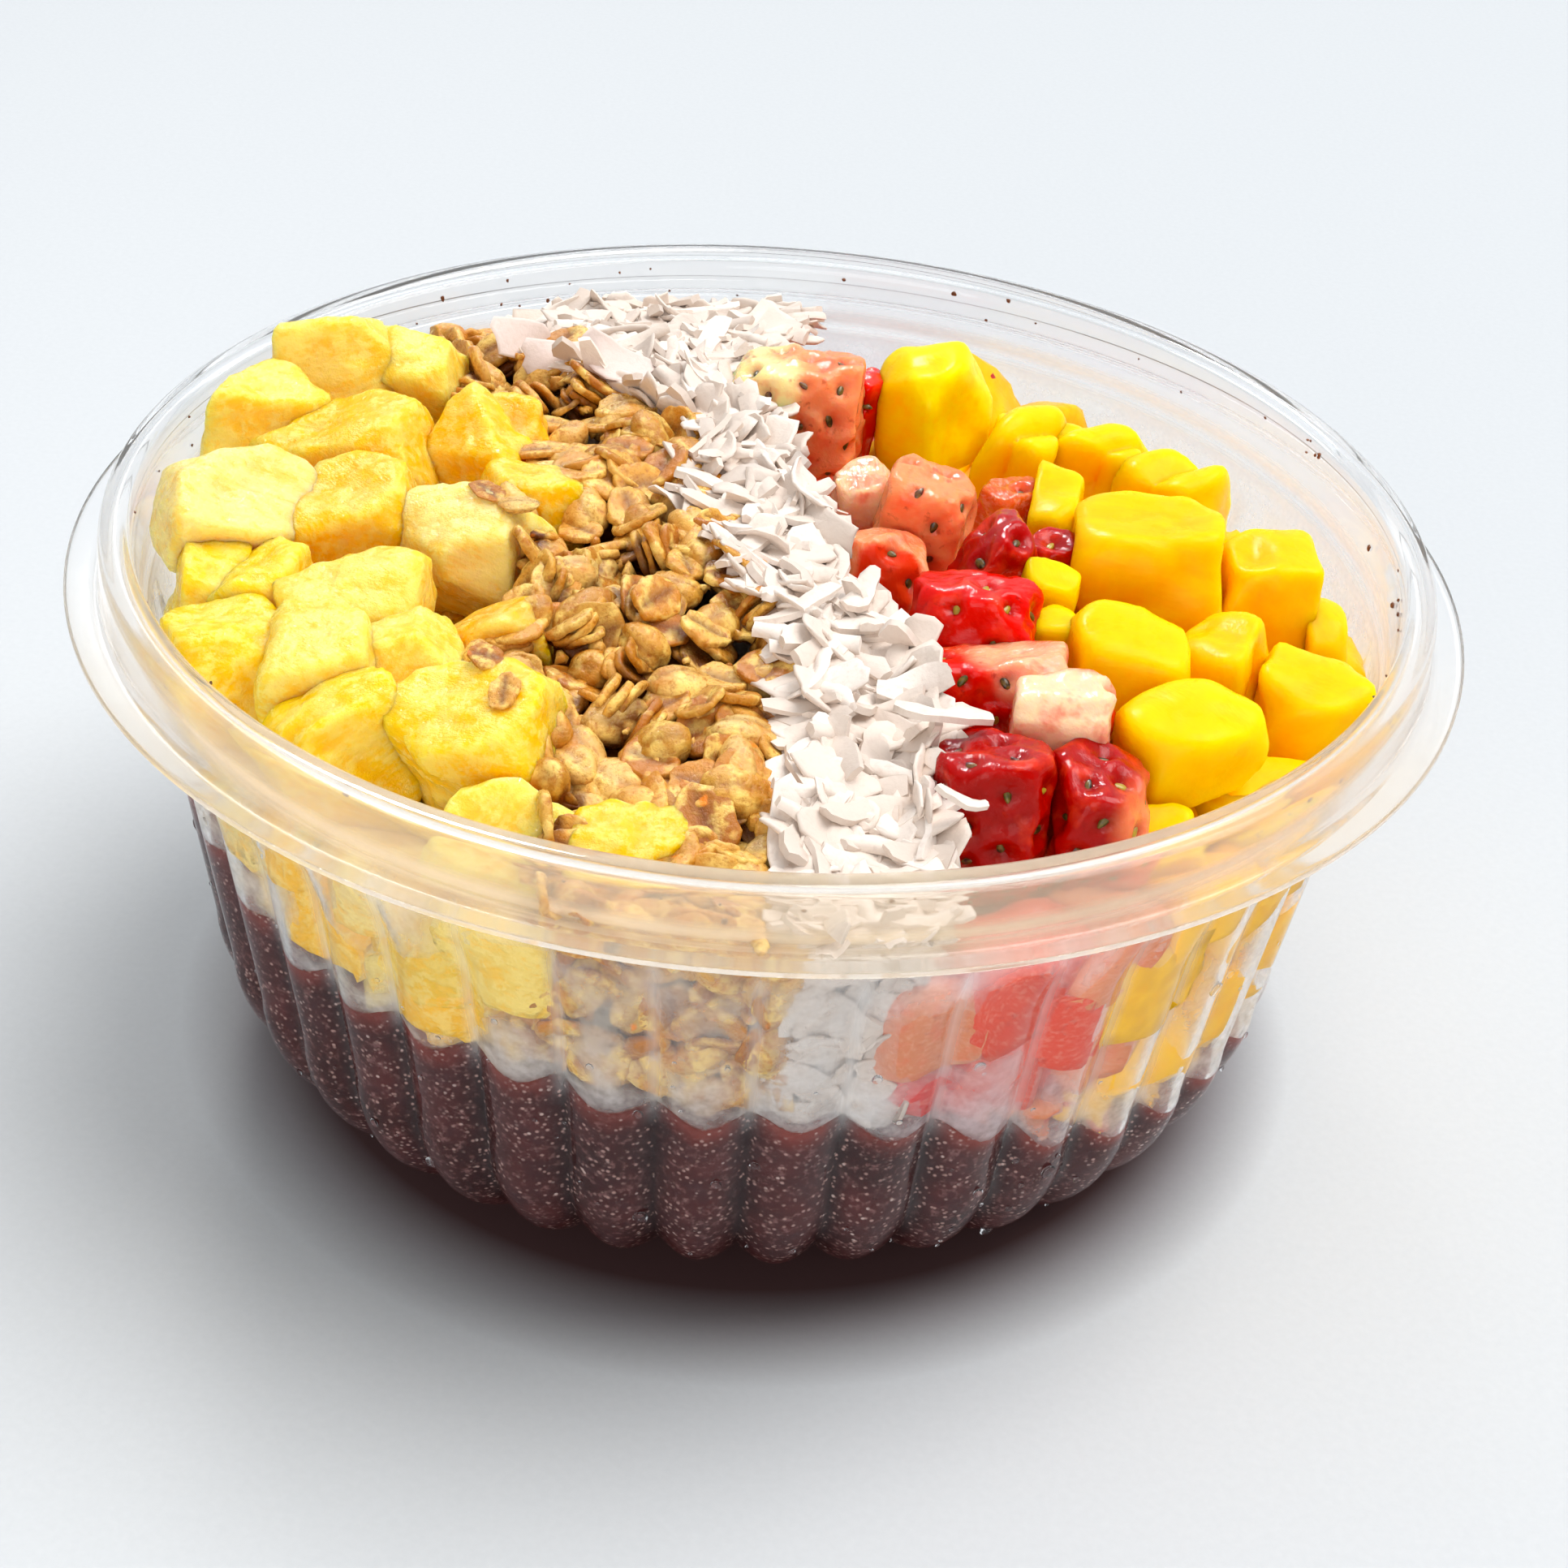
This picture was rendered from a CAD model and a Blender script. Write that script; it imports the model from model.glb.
"""Looks of the acai bowl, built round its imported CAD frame. Lengths are millimetres until a mesh is made."""
import math
from functools import cached_property

import bpy
import numpy as np
from mathutils import Euler, Matrix, Vector
from mathutils.bvhtree import BVHTree


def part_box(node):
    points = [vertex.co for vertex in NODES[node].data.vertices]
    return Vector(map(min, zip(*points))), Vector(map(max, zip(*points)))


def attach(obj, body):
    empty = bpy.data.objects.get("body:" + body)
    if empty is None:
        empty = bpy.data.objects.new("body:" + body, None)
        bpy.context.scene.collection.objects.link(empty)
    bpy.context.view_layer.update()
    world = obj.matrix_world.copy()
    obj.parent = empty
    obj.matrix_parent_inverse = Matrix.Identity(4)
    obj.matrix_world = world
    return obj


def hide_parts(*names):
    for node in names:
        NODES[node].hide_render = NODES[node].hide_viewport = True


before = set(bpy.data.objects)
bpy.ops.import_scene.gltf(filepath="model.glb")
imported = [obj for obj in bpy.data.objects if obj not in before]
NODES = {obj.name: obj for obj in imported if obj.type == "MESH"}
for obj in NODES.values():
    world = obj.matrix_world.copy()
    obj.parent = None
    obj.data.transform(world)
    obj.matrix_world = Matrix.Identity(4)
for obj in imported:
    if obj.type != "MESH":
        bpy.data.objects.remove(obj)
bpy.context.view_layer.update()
MM = 0.001

# ---- the bowl's sizes, as in the CAD ----
WALL = 0.8
FOOT_RADIUS = 42.0
CORNER_TOP, CORNER_TOP_RADIUS = 24.0, 69.0
WALL_SLOPE, WALL_TOP = 0.159, 63.0
FLUTES, FLUTE_TURN = 42, math.radians(-2.67)
CORNER_DEPTH, FLUTE_DEPTH = 2.3, 1.7
FLUTE_FADE = (49.0, 61.5)
STEPS_PER_FLUTE = 9
ANGLES = FLUTE_TURN + np.linspace(0, 2 * math.pi, FLUTES * STEPS_PER_FLUTE, endpoint=False)


# ---- noise and small geometry ----

def hashed(ix, iy, iz, seed):
    """A repeatable number from -1 to 1 for each whole-number place."""
    h = ix * 374761393 + iy * 668265263 + iz * 1274126177 + seed * 974634777
    h = (h ^ (h >> 13)) * 1103515245 & 0x7FFFFFFF
    h = (h ^ (h >> 16)) * 69069 & 0x7FFFFFFF
    return (h & 0xFFFFF) / float(0x7FFFF) - 1.0


def noise(p, seed=0):
    """Smooth noise, about -1 to 1, at points whose features are one unit wide."""
    cell = np.floor(p).astype(np.int64)
    f = p - cell
    f = f * f * f * (f * (f * 6 - 15) + 10)
    total = 0
    for dx in (0, 1):
        for dy in (0, 1):
            for dz in (0, 1):
                w = ((f[..., 0] if dx else 1 - f[..., 0]) * (f[..., 1] if dy else 1 - f[..., 1])
                     * (f[..., 2] if dz else 1 - f[..., 2]))
                total = total + w * hashed(cell[..., 0] + dx, cell[..., 1] + dy, cell[..., 2] + dz, seed)
    return total


def layered(p, seed=0, octaves=3):
    total, high = 0, 1.0
    for k in range(octaves):
        total = total + high * noise(p * 2.03 ** k + 11.3 * k, seed + k)
        high *= 0.5
    return total


def smooth_step(low, high, x):
    t = np.clip((x - low) / (high - low), 0, 1)
    return t * t * (3 - 2 * t)


def unit(v):
    v = np.asarray(v, float)
    return v / np.maximum(np.linalg.norm(v, axis=-1, keepdims=True), 1e-9)


def around(radius, angle, z):
    """A point given by its distance from the axis, its angle and its height."""
    return np.array([radius * math.cos(angle), radius * math.sin(angle), z])


def turned(rng, tilt):
    """A random turn: any angle about the vertical, then up to a tilt away from it."""
    spin = Matrix.Rotation(rng.uniform(0, 2 * math.pi), 3, "Z")
    axis = Vector(around(1, rng.uniform(0, 2 * math.pi), 0))
    return np.array(Matrix.Rotation(rng.uniform(-tilt, tilt), 3, axis) @ spin)


def leaning(rng, most):
    """A small turn about some level axis."""
    axis = Vector(around(1, rng.uniform(0, 2 * math.pi), 0))
    return np.array(Matrix.Rotation(rng.uniform(0.4, 1.0) * most, 3, axis))


def laid_on(normal):
    """A turn that lays a flat thing on a surface."""
    return np.array(Vector(normal).to_track_quat("Z", "Y").to_matrix())


def facing(normal, rng, tilt):
    """The same, tilted from the surface by a random angle."""
    return laid_on(normal) @ turned(rng, tilt)


def box_of(node):
    return [np.array(corner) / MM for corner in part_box(node)]


# The unit balls already made, by their number of faces.
BALLS = {}


def ball(n):
    """Directions on a sphere and the quads between them, from a cube with n by n faces a side."""
    if n not in BALLS:
        t = np.tan(np.linspace(-math.pi / 4, math.pi / 4, n + 1))
        a, b = np.meshgrid(t, t, indexing="ij")
        one = np.ones_like(a)
        sides = [(one, a, b), (-one, b, a), (b, one, a), (a, -one, b), (a, b, one), (b, a, -one)]
        points = np.concatenate([np.stack(s, -1).reshape(-1, 3) for s in sides])
        i, j = np.meshgrid(np.arange(n), np.arange(n), indexing="ij")
        first = (i * (n + 1) + j).ravel()
        face = np.stack([first, first + n + 1, first + n + 2, first + 1], -1)
        quads = np.concatenate([face + k * (n + 1) ** 2 for k in range(6)])
        _, keep, back = np.unique(np.round(points, 5), axis=0, return_index=True, return_inverse=True)
        BALLS[n] = (unit(points[keep]), back.ravel()[quads])
    return BALLS[n]


# The points and faces of every heap, to find where food stands off from the wall.
CONTENTS = []


class Heap:
    """Gathers many small meshes into one, with a colour, local coordinates and a mask at each point."""

    def __init__(self):
        self.points, self.quads, self.tone, self.grain, self.mask, self.count = [], [], [], [], [], 0

    def add(self, points, quads, tone, grain, mask=0.0):
        n = len(points)
        self.points.append(points)
        self.quads.append(quads + self.count)
        self.tone.append(np.broadcast_to(np.asarray(tone, float), (n, 3)))
        self.grain.append(grain)
        self.mask.append(np.broadcast_to(np.asarray(mask, float), (n,)))
        self.count += n

    def piece(self, name, material, slot=None, replaces=(), sharp=None):
        points, quads = np.concatenate(self.points), np.concatenate(self.quads)
        CONTENTS.append((points, quads))
        ob = mesh_piece(name, points, quads, [material])
        if sharp:
            ob.data.set_sharp_from_angle(angle=math.radians(sharp))
        put_values(ob, "tone", np.c_[np.concatenate(self.tone), np.ones(len(points))])
        put_values(ob, "grain", np.concatenate(self.grain))
        put_values(ob, "mask", np.concatenate(self.mask))
        return finish_piece(ob, replaces)


def placed(name, data):
    """A new object in the scene."""
    ob = bpy.data.objects.new(name, data)
    bpy.context.scene.collection.objects.link(ob)
    return ob


def mesh_piece(name, points, quads, materials, kinds=None):
    """A mesh object from points in millimetres. A quad whose last two corners agree is a triangle."""
    quads = np.asarray(quads, np.int64)
    three = quads[:, 2] == quads[:, 3]
    loops = np.where(np.stack([three] * 4, 1), np.c_[quads[:, :3], np.full(len(quads), -1)], quads)
    counts = np.where(three, 3, 4)
    mesh = bpy.data.meshes.new(name)
    mesh.vertices.add(len(points))
    mesh.vertices.foreach_set("co", (np.asarray(points) * MM).astype(np.float32).ravel())
    flat = loops.ravel()
    flat = flat[flat >= 0]
    mesh.loops.add(len(flat))
    mesh.loops.foreach_set("vertex_index", flat.astype(np.int32))
    mesh.polygons.add(len(counts))
    mesh.polygons.foreach_set("loop_start", np.r_[0, np.cumsum(counts)[:-1]].astype(np.int32))
    mesh.polygons.foreach_set("loop_total", counts.astype(np.int32))
    if kinds is not None:
        mesh.polygons.foreach_set("material_index", np.asarray(kinds, np.int32))
    mesh.polygons.foreach_set("use_smooth", np.full(len(counts), True))
    mesh.update(calc_edges=True)
    for material in materials:
        mesh.materials.append(material)
    return placed(name, mesh)


def put_values(ob, name, values):
    """Stores a number, a vector or, in four columns, a colour at each point."""
    values = np.asarray(values, np.float32)
    kind, key = {1: ("FLOAT", "value"), 3: ("FLOAT_VECTOR", "vector"), 4: ("FLOAT_COLOR", "color")}[
        values[0].size]
    ob.data.attributes.new(name, kind, "POINT").data.foreach_set(key, values.ravel())


def finish_piece(ob, replaces):
    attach(ob, "root")
    if replaces:
        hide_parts(*replaces)
    return ob


def linear(r, g, b):
    """A colour given as 0 to 255 on screen, as the shader's own numbers."""
    c = np.array([r, g, b]) / 255.0
    return np.where(c <= 0.04045, c / 12.92, ((c + 0.055) / 1.055) ** 2.4)


def linears(*colours):
    return [linear(*colour) for colour in colours]


# ---- shader nodes ----

class Shader:
    """Builds the nodes of a material or of the world."""

    def __init__(self, name, kind=bpy.data.materials):
        self.made = kind.new(name)
        self.made.use_nodes = True
        self.tree = self.made.node_tree
        self.tree.nodes.clear()

    @cached_property
    def place(self):
        """The shaded point, in metres."""
        return self.node("ShaderNodeNewGeometry").outputs["Position"]

    def node(self, kind, sockets=None, **settings):
        made = self.tree.nodes.new(kind)
        for key, value in settings.items():
            setattr(made, key, value)
        for key, value in (sockets or {}).items():
            socket = made.inputs[key]
            if isinstance(value, bpy.types.NodeSocket):
                self.tree.links.new(value, socket)
            else:
                socket.default_value = (*value, 1) if socket.type == "RGBA" else value
        return made

    def read(self, name):
        """What a piece stores at its points: its tone, the coordinates of its grain, or a number."""
        socket = {"tone": "Color", "grain": "Vector"}.get(name, "Fac")
        return self.node("ShaderNodeAttribute", attribute_name=name).outputs[socket]

    def math(self, operation, a, b=0.0, clamp=False):
        return self.node("ShaderNodeMath", {0: a, 1: b}, operation=operation, use_clamp=clamp).outputs[0]

    def times(self, a, b):
        return self.math("MULTIPLY", a, b)

    def noise(self, scale, detail=3.0, roughness=0.5, at=None):
        sockets = {"Vector": at or self.place, "Scale": scale, "Detail": detail, "Roughness": roughness}
        return self.node("ShaderNodeTexNoise", sockets).outputs["Fac"]

    def spots(self, scale):
        return self.node("ShaderNodeTexVoronoi", {"Vector": self.place, "Scale": scale}).outputs["Distance"]

    def ramp(self, value, low, high, start=0.0, end=1.0):
        sockets = {"Value": value, "From Min": low, "From Max": high, "To Min": start, "To Max": end}
        return self.node("ShaderNodeMapRange", sockets, clamp=True).outputs[0]

    def mix(self, amount, a, b):
        return self.node("ShaderNodeMix", {0: amount, 6: a, 7: b}, data_type="RGBA").outputs[2]

    def bump(self, height, strength, distance_mm, normal=None):
        sockets = {"Height": height, "Strength": strength, "Distance": distance_mm * MM}
        return self.node("ShaderNodeBump", sockets | ({"Normal": normal} if normal else {})).outputs[0]

    def principled(self, **sockets):
        names = {key.replace("_", " "): value for key, value in sockets.items()}
        return self.node("ShaderNodeBsdfPrincipled", names).outputs[0]

    def cover(self, colour, amount, other):
        """Mixes another colour in, which may be given as 0 to 255 on screen."""
        return self.mix(amount, colour, linear(*other) if isinstance(other, tuple) else other)

    def fade(self, colour, value, low, high, most, other):
        """The same, up to a share, as a value goes from low to high."""
        return self.cover(colour, self.ramp(value, low, high, 0, most), other)

    def blend(self, amount, a, b):
        return self.node("ShaderNodeMixShader", {0: amount, 1: a, 2: b}).outputs[0]

    def solid(self, colour, rough, normal=None, specular=0.5, **more):
        """Ends a material with one opaque surface."""
        if normal:
            more["Normal"] = normal
        return self.finish(self.principled(Base_Color=colour, Roughness=rough, Specular_IOR_Level=specular,
                                           **more))

    def glossy(self, colour, value, least, most, normal, specular, **more):
        """Ends a material with one opaque surface, whose roughness follows a noise."""
        return self.solid(colour, self.ramp(value, 0.3, 0.7, least, most), normal, specular, **more)

    def finish(self, surface):
        self.node("ShaderNodeOutputMaterial", {"Surface": surface})
        return self.made


# ---- materials ----

def plastic(name, clear_rough, misty_rough):
    """Clear formed plastic. Lamps shine through it, and its mist and scuffs scatter a little light."""
    s = Shader(name)
    fog, veil = s.read("fog"), s.read("veil")
    fine = s.noise(900, 2, 0.6)
    broad = s.noise(150, 3, 0.6)
    waves = s.bump(s.noise(45, 1), 0.02, 0.5)
    rough = s.ramp(fog, 0.015, 0.08, clear_rough, misty_rough)
    clear = s.principled(Base_Color=(0.99, 0.99, 0.99), Roughness=rough, IOR=1.36, Transmission_Weight=1.0,
                         Normal=waves)
    open_way = s.node("ShaderNodeBsdfTransparent", {"Color": (0.983, 0.982, 0.98)}).outputs[0]
    path = s.node("ShaderNodeLightPath")
    through = s.math("MAXIMUM", path.outputs["Is Shadow Ray"], path.outputs["Is Diffuse Ray"])
    glass = s.blend(through, clear, open_way)
    tint = s.mix(s.read("warm"), (0.945, 0.945, 0.945), (0.93, 0.77, 0.55))
    tint = s.mix(veil, tint, (0.84, 0.87, 0.9))
    facing_mist = s.principled(Base_Color=tint, Roughness=0.5, Specular_IOR_Level=0.1)
    through_mist = s.node("ShaderNodeBsdfTranslucent", {"Color": tint}).outputs[0]
    mist = s.blend(0.5, facing_mist, through_mist)
    lace = s.math("ADD", s.times(broad, 0.7), s.times(fine, 0.3))
    frost = s.times(s.ramp(lace, 0.38, 0.6, 0.2, 0.75), veil)
    amount = s.math("ADD", s.times(fog, s.ramp(broad, 0.3, 0.7, 0.85, 1.1)), frost)
    amount = s.math("MULTIPLY", amount, s.ramp(through, 0.0, 1.0, 1.0, 0.25), True)
    return s.finish(s.blend(amount, glass, mist))


def acai_material():
    s = Shader("acai_puree")
    edge, groove = s.read("mask"), s.read("groove")
    broad = s.noise(110, 4, 0.6)
    fine = s.noise(1100, 4, 0.65)
    speck = s.ramp(s.spots(1150), 0.34, 0.14)
    grain = s.ramp(s.spots(700), 0.2, 0.1)
    rare = s.ramp(s.noise(420, 2), 0.36, 0.56)
    tone = s.mix(s.ramp(broad, 0.35, 0.65), linear(46, 9, 9), linear(78, 29, 28))
    tone = s.fade(tone, fine, 0.52, 0.72, 0.7, (142, 100, 98))
    tone = s.fade(tone, s.noise(260, 3), 0.52, 0.66, 0.7, (58, 20, 24))
    tone = s.cover(tone, s.times(edge, s.ramp(broad, 0.25, 0.6, 0.4, 0.95)), (126, 44, 32))
    tone = s.cover(tone, s.times(groove, 0.9), (26, 6, 8))
    tone = s.cover(tone, s.times(speck, s.times(rare, 0.85)), (176, 140, 132))
    tone = s.cover(tone, s.times(grain, s.ramp(s.noise(300, 2), 0.5, 0.6, 0, 0.8)), (206, 180, 172))
    bump = s.bump(s.math("ADD", fine, s.times(speck, 0.5)), 0.6, 0.3)
    return s.glossy(tone, fine, 0.34, 0.6, bump, 0.15)


def pineapple_material(name, deep):
    s = Shader(name)
    tone, grain = s.read("tone"), s.read("grain")
    fibre = s.noise(1.1, 4, 0.55, at=grain)
    patch = s.noise(170, 2, 0.5)
    cells = s.noise(520, 4, 0.65)
    pale, rich = s.cover(tone, 0.5, (255, 230, 132)), s.cover(tone, 0.7, (254, 190, 0))
    colour = s.fade(tone, patch, 0.5, 0.62, 0.8, pale)
    colour = s.fade(colour, patch, 0.5, 0.38, 0.9, rich)
    colour = s.fade(colour, fibre, 0.5, 0.62, 0.6, pale)
    colour = s.fade(colour, fibre, 0.46, 0.34, 0.6, rich)
    colour = s.fade(colour, cells, 0.5, 0.6, 0.85, pale)
    colour = s.fade(colour, cells, 0.45, 0.35, 0.7, rich)
    bump = s.bump(fibre, 0.6, 0.5, s.bump(cells, 1.0, 0.6))
    return s.glossy(colour, cells, 0.14, 0.34, bump, 0.2,
                   Subsurface_Weight=deep, Subsurface_Radius=(1.0, 1.0, 0.3), Subsurface_Scale=0.0035)


def mango_material(name, deep):
    s = Shader(name)
    tone, grain = s.read("tone"), s.read("grain")
    fibre = s.noise(0.55, 3, 0.5, at=grain)
    ripple = s.noise(1.7, 2, 0.5, at=grain)
    fine = s.noise(420, 2, 0.5)
    colour = s.fade(tone, fibre, 0.42, 0.65, 0.6, (255, 198, 0))
    colour = s.fade(colour, fine, 0.44, 0.3, 0.25, (255, 172, 0))
    bump = s.bump(ripple, 0.14, 0.35, s.bump(fine, 0.08, 0.15))
    return s.glossy(colour, fine, 0.24, 0.34, bump, 0.05,
                   Subsurface_Weight=deep, Subsurface_Radius=(1.0, 1.0, 0.1), Subsurface_Scale=0.006)


def strawberry_material(name, deep):
    s = Shader(name)
    tone, skin, grain = s.read("tone"), s.read("mask"), s.read("grain")
    vein = s.noise(1.5, 4, 0.6, at=grain)
    fine = s.noise(640, 3, 0.6)
    patch = s.noise(260, 3, 0.55)
    flesh = s.fade(tone, vein, 0.48, 0.66, 0.6, s.cover(tone, 0.6, (255, 210, 180)))
    flesh = s.fade(flesh, patch, 0.44, 0.32, 0.5, (226, 40, 10))
    rind = s.fade(tone, patch, 0.52, 0.68, 0.5, (238, 70, 30))
    rind = s.fade(rind, fine, 0.4, 0.28, 0.5, (140, 2, 0))
    colour = s.mix(skin, flesh, rind)
    bump = s.bump(vein, 0.35, 0.4, s.bump(fine, 0.3, 0.2, s.bump(patch, 0.4, 0.6)))
    return s.glossy(colour, fine, 0.05, 0.16, bump, 0.22,
                   Subsurface_Weight=0.85 * deep, Subsurface_Radius=(1.0, 0.16, 0.06), Subsurface_Scale=0.004)


def granola_material():
    s = Shader("toasted_oats")
    tone, crease, grain = s.read("tone"), s.read("mask"), s.read("grain")
    fine = s.noise(1.3, 5, 0.65, at=grain)
    broad = s.noise(0.42, 2, 0.5, at=grain)
    toast = s.noise(190, 3, 0.6)
    colour = s.fade(tone, broad, 0.48, 0.62, 0.85, (248, 210, 112))
    colour = s.fade(colour, fine, 0.5, 0.3, 0.85, (172, 92, 8))
    colour = s.fade(colour, toast, 0.5, 0.68, 0.8, (200, 122, 16))
    colour = s.cover(colour, crease, (98, 42, 2))
    colour = s.fade(colour, s.noise(330, 2), 0.7, 0.76, 0.8, (240, 130, 0))
    bump = s.bump(fine, 0.7, 0.4, s.bump(s.noise(1000, 3), 0.45, 0.15))
    return s.glossy(colour, fine, 0.16, 0.42, bump, 0.34)


def coconut_material():
    s = Shader("coconut_shreds")
    tone, grain = s.read("tone"), s.read("grain")
    fine = s.noise(1.2, 4, 0.6, at=grain)
    colour = s.fade(tone, fine, 0.5, 0.3, 0.5, (214, 196, 184))
    bump = s.bump(fine, 0.3, 0.3, s.bump(s.noise(1200, 2), 0.2, 0.1))
    return s.solid(colour, 0.5, bump, 0.1)


def core_material(name, dark, light):
    """What lies deep in a heap, seen only through gaps."""
    s = Shader(name)
    broad = s.noise(240, 4, 0.65)
    colour = s.mix(s.ramp(broad, 0.35, 0.65), dark, light)
    return s.solid(colour, 0.55, s.bump(broad, 0.8, 1.0), 0.1)


def seed_material():
    s = Shader("strawberry_seed")
    fine = s.noise(1500, 2)
    colour = s.fade(s.read("tone"), fine, 0.4, 0.6, 0.5, (150, 120, 40))
    return s.solid(colour, 0.3, s.bump(fine, 0.3, 0.1))


def crumb_material():
    s = Shader("crumb")
    colour = s.mix(s.noise(2000, 2), linear(60, 30, 20), linear(150, 90, 50))
    return s.solid(colour, 0.7)


# The room's light goes from one strength to another as the way it comes from turns upwards.
ROOM_GLOW = (0.0, 1.1, 0.05, 1.0)
BACKDROP_GLOW = 0.8
SKY_COLOUR = (0.9, 0.953, 1.0)
# Metres from the middle, between which the floor fades to the backdrop, and the bowl's shade to the floor.
FLOOR_FADE = (0.9, 3.2)
CONTACT_SHADE = (0.074, 0.058)


def floor_material():
    s = Shader("pale_table")
    fine = s.noise(900, 3, 0.6)
    colour = s.mix(s.ramp(fine, 0.3, 0.7), (0.525, 0.543, 0.562), (0.545, 0.563, 0.582))
    away = s.node("ShaderNodeVectorMath", {0: s.place}, operation="LENGTH").outputs["Value"]
    colour = s.mix(s.ramp(away, *CONTACT_SHADE, 0, 0.95), colour, (0.06, 0.016, 0.016))
    near = s.principled(Base_Color=colour, Roughness=0.6, Normal=s.bump(fine, 0.12, 0.2),
                        Specular_IOR_Level=0.25)
    far = s.node("ShaderNodeEmission", {"Color": SKY_COLOUR, "Strength": BACKDROP_GLOW}).outputs[0]
    return s.finish(s.blend(s.ramp(away, *FLOOR_FADE), near, far))


# ---- the bowl ----

def flute_depth(height):
    """How deep the valleys would be cut at a height, and how much of that the band on top hides."""
    deep = np.interp(height, [0, 2.6, 9.9, 19.8, 57.0, WALL_TOP],
                     [0, CORNER_DEPTH, CORNER_DEPTH, CORNER_DEPTH, FLUTE_DEPTH, FLUTE_DEPTH])
    return deep, smooth_step(*FLUTE_FADE, height)


def wall_profile(steps_corner=16, steps_wall=23):
    """Rows of radius, height and outward direction up the crest of a lobe, from the foot to the band."""
    wide = CORNER_TOP_RADIUS - FOOT_RADIUS
    t = np.linspace(0, math.pi / 2, steps_corner + 1)
    corner = np.c_[FOOT_RADIUS + wide * np.sin(t), CORNER_TOP * (1 - np.cos(t)),
                   unit(np.c_[np.sin(t) / wide, -np.cos(t) / CORNER_TOP])]
    z = np.linspace(CORNER_TOP, WALL_TOP, steps_wall + 1)[1:]
    up = unit(np.array([1, -WALL_SLOPE]))
    r = CORNER_TOP_RADIUS + WALL_SLOPE * (z - CORNER_TOP)
    return np.r_[corner, np.c_[r, z, np.full_like(z, up[0]), np.full_like(z, up[1])]]


def flute_at(angle):
    """How many flutes lie before an angle."""
    return (angle - FLUTE_TURN) * FLUTES / (2 * math.pi)


def lobe(angle):
    """0 at the middle of a lobe and 1 in the valley between two."""
    return 1 - np.abs(np.sin(math.pi * flute_at(angle)))


def wall_rings(offset, profile, angles=ANGLES):
    """Rings of points on the wall, moved in from its outside by an offset."""
    deep, fade = flute_depth(profile[:, 1])
    cut = np.maximum(0, deep[:, None] * (lobe(angles)[None, :] - fade[:, None]))
    cut *= smooth_step(0, 2.5, profile[:, 1])[:, None]
    r = profile[:, :1] - profile[:, 2:3] * (offset + cut)
    z = profile[:, 1:2] - profile[:, 3:4] * (offset + cut)
    return np.stack([r * np.cos(angles), r * np.sin(angles), z], -1)


def inner_radius(x, y, z):
    """How far the inside of the wall is from the axis, at each point's angle and height."""
    profile = wall_profile()
    angle = np.arctan2(y, x)
    deep, fade = flute_depth(z)
    cut = np.maximum(0, deep * (lobe(angle) - fade))
    base = np.interp(z, profile[:, 1] + WALL * np.abs(profile[:, 3]), profile[:, 0] - WALL * profile[:, 2])
    lean = np.interp(z, profile[:, 1], profile[:, 2])
    return base - cut / np.maximum(lean, 0.35)


def rounded_path(points, times=2):
    """Cuts the corners of an open path until it is smooth."""
    p = np.array(points, float)
    for _ in range(times):
        q = 0.75 * p[:-1] + 0.25 * p[1:]
        r = 0.25 * p[:-1] + 0.75 * p[1:]
        p = np.r_[p[:1], np.stack([q, r], 1).reshape(-1, 2), p[-1:]]
    return p


def skin(rings, low, high):
    """Joins closed rings of points into one skin, closed at its ends by fans round two middle points."""
    rows, count = rings.shape[:2]
    a = np.arange(count)
    b = (a + 1) % count
    last, centre = (rows - 1) * count, rows * count
    quads = [np.stack([k + a, k + b, k + count + b, k + count + a], 1) for k in range(0, last, count)]
    ends = [np.stack([np.full(count, centre), b, a, a], 1),
            np.stack([np.full(count, centre + 1), last + a, last + b, last + b], 1)]
    return np.r_[rings.reshape(-1, 3), [low, high]], np.concatenate(quads + ends)


# Radius and height up the outside of the rim, and down its inside.
RIM_OUTSIDE = [(75.2, 63), (76.1, 64.9), (76.5, 68.5), (76.7, 72.4), (79.0, 72.4), (79.25, 68), (79.4, 65.35),
               (82, 65.75), (84, 66.1), (84, 66.9)]
RIM_INSIDE = [(84, 66.9), (82, 66.55), (80.2, 66.1), (80.0, 69), (79.8, 73.1), (78.9, 74), (76.8, 74),
              (75.9, 73.1), (75.5, 69), (75.3, 65.4), (74.41, 63.1)]
# The same under the foot.
FOOT_RINGS = np.array([[0.5, 0], [14, 0], [28, 0], [38, 0]])
# Places low on the wall where the puree doesn't reach it: angle in degrees, height and width.
AIR_GAPS = [(-78.5, 8.5, 2.6), (-72.3, 13.5, 2.0), (-60.5, 15.0, 2.2), (-17.6, 10.0, 2.4)]
# The widest gap that is told apart between the food and the wall.
WIDEST_GAP = 4.0


def level_rings(path):
    """Level round rings of the radii and heights of a path."""
    r, z = path[:, :1], path[:, 1:]
    height = np.broadcast_to(z, (len(path), len(ANGLES)))
    return np.stack([r * np.cos(ANGLES), r * np.sin(ANGLES), height], -1)


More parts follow.
